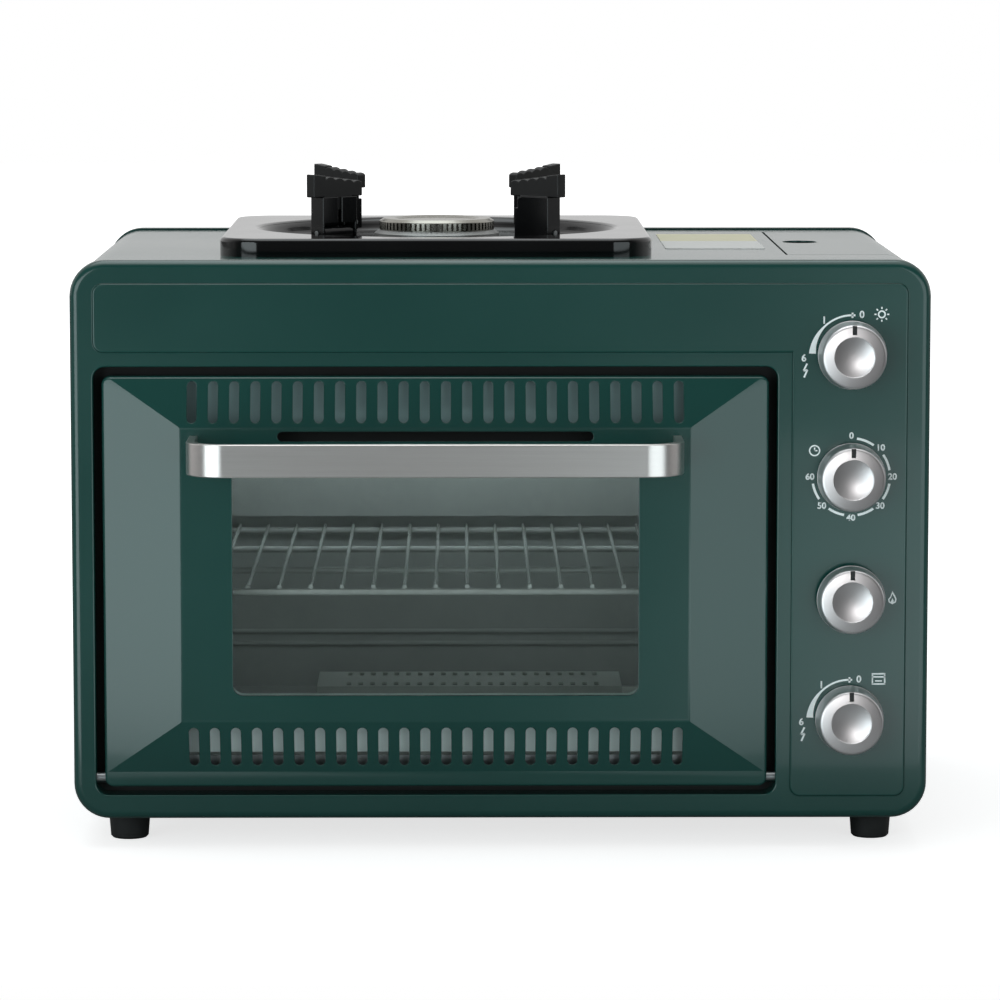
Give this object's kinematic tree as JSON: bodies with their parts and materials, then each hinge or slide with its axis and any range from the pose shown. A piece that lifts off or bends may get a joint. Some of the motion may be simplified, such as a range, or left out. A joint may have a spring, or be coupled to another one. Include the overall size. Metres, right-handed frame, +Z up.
{
  "type": "portable gas oven with stove top",
  "caption": "Portable gas camp oven with a burner, drip tray and folding pan supports on top, a glazed drop-down door, a wire rack and a cartridge bay.",
  "frame": {"origin": "on the ground, under the centre of the whole oven's box, door handle included", "axes": "+X to the right as seen from the front, +Y from the door to the back, +Z up"},
  "size_m": [0.5, 0.4066, 0.39],
  "materials": {
    "green_enamel": "glossy baked enamel",
    "zinc_steel": "zinc plated",
    "aluminised_steel": "aluminised, satin",
    "chromed_wire": "bright plated",
    "knob_silver": "spun satin",
    "plain_steel": "plain",
    "brushed_handle": "brushed lengthwise",
    "foot_rubber": "matte",
    "seal_rubber": "matte",
    "window_glass": "clear, slightly dark",
    "black_enamel": "glossy enamel",
    "black_steel": "satin enamel",
    "black_cast_iron": "black enamel",
    "brass": "drawn",
    "burner_brass": "machined",
    "die_cast": "die cast",
    "timer_plastic": "moulded",
    "electrode_ceramic": "glazed"
  },
  "bodies": {
    "body": {"front_panel": "green_enamel", "body_shell": "green_enamel", "base_plate": "zinc_steel", "back_panel": "green_enamel", "partition": "zinc_steel", "feet": "foot_rubber", "case_screws": "chromed_wire", "oven_liner": "aluminised_steel", "rack_guides": "aluminised_steel", "flue_baffle": "aluminised_steel", "wire_rack": "chromed_wire", "burner_tube": "plain_steel", "flame_spreader": "aluminised_steel", "door_hinge_brackets": "zinc_steel", "regulator": "die_cast", "timer_body": "timer_plastic", "safety_valve": "brass", "oven_valve": "brass", "oven_gas_pipe": "brass", "stove_gas_pipe": "brass", "cartridge_bay": "zinc_steel", "hatch_hinge": "zinc_steel", "drip_tray": "black_enamel", "burner_pot": "die_cast", "burner_cap": "burner_brass", "mixing_tube": "die_cast", "igniter": "electrode_ceramic", "support_bases": "black_steel", "support_pins": "chromed_wire"},
    "door": {"door_skin": "green_enamel", "door_inner": "aluminised_steel", "window_seal": "seal_rubber", "window_glass": "window_glass", "door_handle": "brushed_handle", "handle_screws": "chromed_wire", "door_hinge_rail": "zinc_steel"},
    "hatch": {"hatch_lid": "green_enamel"},
    "stove_knob": {"knob_stove": "knob_silver", "shaft_stove": "plain_steel"},
    "timer_knob": {"knob_timer": "knob_silver", "shaft_timer": "plain_steel"},
    "safety_button": {"knob_safety": "knob_silver", "shaft_safety": "plain_steel"},
    "oven_knob": {"knob_oven": "knob_silver", "shaft_oven": "plain_steel"},
    "support_1": {"support_leg_1": "black_steel", "support_head_1": "black_cast_iron"},
    "support_2": {"support_leg_2": "black_steel", "support_head_2": "black_cast_iron"},
    "support_3": {"support_leg_3": "black_steel", "support_head_3": "black_cast_iron"},
    "support_4": {"support_leg_4": "black_steel", "support_head_4": "black_cast_iron"}
  },
  "joints": [
    {"name": "door_hinge", "type": "hinge", "parent": "body", "child": "door", "pos_m": [-0.0378, -0.1323, 0.0411], "axis": [1, 0, 0], "range_deg": [0, 90]},
    {"name": "hatch_hinge", "type": "hinge", "parent": "body", "child": "hatch", "pos_m": [0.2473, 0.0457, 0.316], "axis": [0, 1, 0], "range_deg": [0, 90]},
    {"name": "stove_knob_turn", "type": "hinge", "parent": "body", "child": "stove_knob", "pos_m": [0.204, -0.1383, 0.29], "axis": [0, -1, 0], "range_deg": [0, 90]},
    {"name": "timer_knob_turn", "type": "hinge", "parent": "body", "child": "timer_knob", "pos_m": [0.204, -0.1383, 0.2188], "axis": [0, 1, 0], "range_deg": [0, 270]},
    {"name": "oven_knob_turn", "type": "hinge", "parent": "body", "child": "oven_knob", "pos_m": [0.204, -0.1383, 0.0764], "axis": [0, -1, 0], "range_deg": [0, 90]},
    {"name": "safety_button_push", "type": "slide", "parent": "body", "child": "safety_button", "axis": [0, 1, 0], "range_m": [0, 0.005], "stiffness_N_per_m": 500},
    {"name": "support_1_fold", "type": "hinge", "parent": "body", "child": "support_1", "pos_m": [0.02336, -0.02396, 0.3546], "axis": [-0.7071, 0.7071, 0], "range_deg": [0, 80]},
    {"name": "support_2_fold", "type": "hinge", "parent": "body", "child": "support_2", "pos_m": [0.02336, 0.09836, 0.3546], "axis": [-0.7071, -0.7071, 0], "range_deg": [0, 80]},
    {"name": "support_3_fold", "type": "hinge", "parent": "body", "child": "support_3", "pos_m": [-0.09896, 0.09836, 0.3546], "axis": [0.7071, -0.7071, 0], "range_deg": [0, 80]},
    {"name": "support_4_fold", "type": "hinge", "parent": "body", "child": "support_4", "pos_m": [-0.09896, -0.02396, 0.3546], "axis": [0.7071, 0.7071, 0], "range_deg": [0, 80]}
  ]
}
